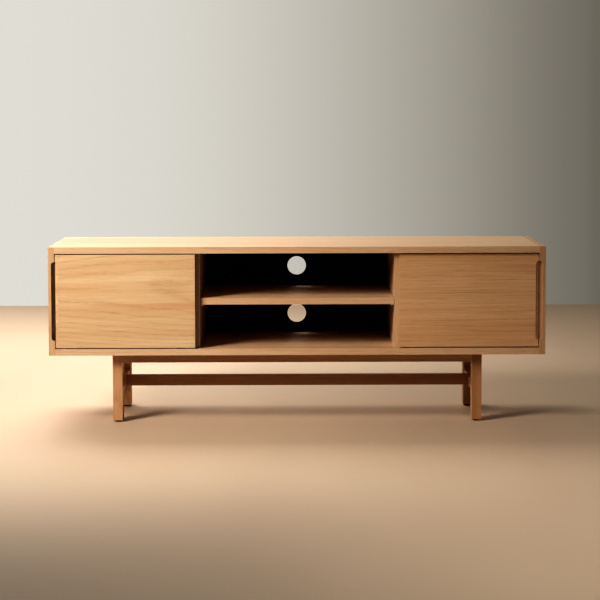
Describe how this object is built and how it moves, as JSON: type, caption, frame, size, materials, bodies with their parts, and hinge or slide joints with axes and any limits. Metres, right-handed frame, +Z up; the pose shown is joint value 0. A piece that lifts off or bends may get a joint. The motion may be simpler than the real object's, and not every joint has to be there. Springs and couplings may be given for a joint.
{
  "type": "media cabinet",
  "caption": "Low oak media cabinet on a leg frame, with thin sliding doors in grooves and an open shelved bay between them with cable holes at the back.",
  "frame": {"origin": "on the floor under the middle of the cabinet", "axes": "+X along the cabinet to its right as seen from the front, +Y from the doors to the back, +Z up"},
  "size_m": [1.6, 0.4, 0.575],
  "materials": {
    "carcass_oak": "clear satin oil on light oak, straight grain",
    "door_oak": "clear satin oil on light oak, grain running level",
    "frame_oak": "clear satin oil on solid oak, grain along each piece",
    "back_board": "black laminate, matte",
    "nylon": "black nylon",
    "black_rubber": "matte black",
    "zinc_steel": "bright zinc"
  },
  "bodies": {
    "cabinet": {"back_panel": "back_board", "back_screw_left_divider_high": "zinc_steel", "back_screw_left_divider_low": "zinc_steel", "back_screw_left_divider_mid": "zinc_steel", "back_screw_left_shelf": "zinc_steel", "back_screw_right_divider_high": "zinc_steel", "back_screw_right_divider_low": "zinc_steel", "back_screw_right_divider_mid": "zinc_steel", "back_screw_right_shelf": "zinc_steel", "bay_shelf": "carcass_oak", "bottom_panel": "carcass_oak", "front_apron": "frame_oak", "left_divider": "carcass_oak", "left_door_stop": "black_rubber", "left_front_base_bolt": "zinc_steel", "left_front_foot_pad": "black_rubber", "left_front_leg": "frame_oak", "left_front_shelf_pin": "zinc_steel", "left_lower_bumper": "black_rubber", "left_rear_base_bolt": "zinc_steel", "left_rear_foot_pad": "black_rubber", "left_rear_leg": "frame_oak", "left_rear_shelf_pin": "zinc_steel", "left_side_panel": "carcass_oak", "left_side_stretcher": "frame_oak", "left_top_rail": "frame_oak", "left_upper_bumper": "black_rubber", "long_stretcher": "frame_oak", "rear_apron": "frame_oak", "right_divider": "carcass_oak", "right_door_stop": "black_rubber", "right_front_base_bolt": "zinc_steel", "right_front_foot_pad": "black_rubber", "right_front_leg": "frame_oak", "right_front_shelf_pin": "zinc_steel", "right_lower_bumper": "black_rubber", "right_rear_base_bolt": "zinc_steel", "right_rear_foot_pad": "black_rubber", "right_rear_leg": "frame_oak", "right_rear_shelf_pin": "zinc_steel", "right_side_panel": "carcass_oak", "right_side_stretcher": "frame_oak", "right_top_rail": "frame_oak", "right_upper_bumper": "black_rubber", "top_panel": "carcass_oak"},
    "left_door": {"left_door": "door_oak", "left_door_inner_guide": "nylon", "left_door_inner_glide": "nylon", "left_door_outer_guide": "nylon", "left_door_outer_glide": "nylon"},
    "right_door": {"right_door": "door_oak", "right_door_inner_guide": "nylon", "right_door_inner_glide": "nylon", "right_door_outer_guide": "nylon", "right_door_outer_glide": "nylon"}
  },
  "joints": [
    {"name": "left_door_slide", "type": "slide", "parent": "cabinet", "child": "left_door", "axis": [1, 0, 0], "range_m": [0, 0.444]},
    {"name": "right_door_slide", "type": "slide", "parent": "cabinet", "child": "right_door", "axis": [-1, 0, 0], "range_m": [0, 0.444]}
  ]
}
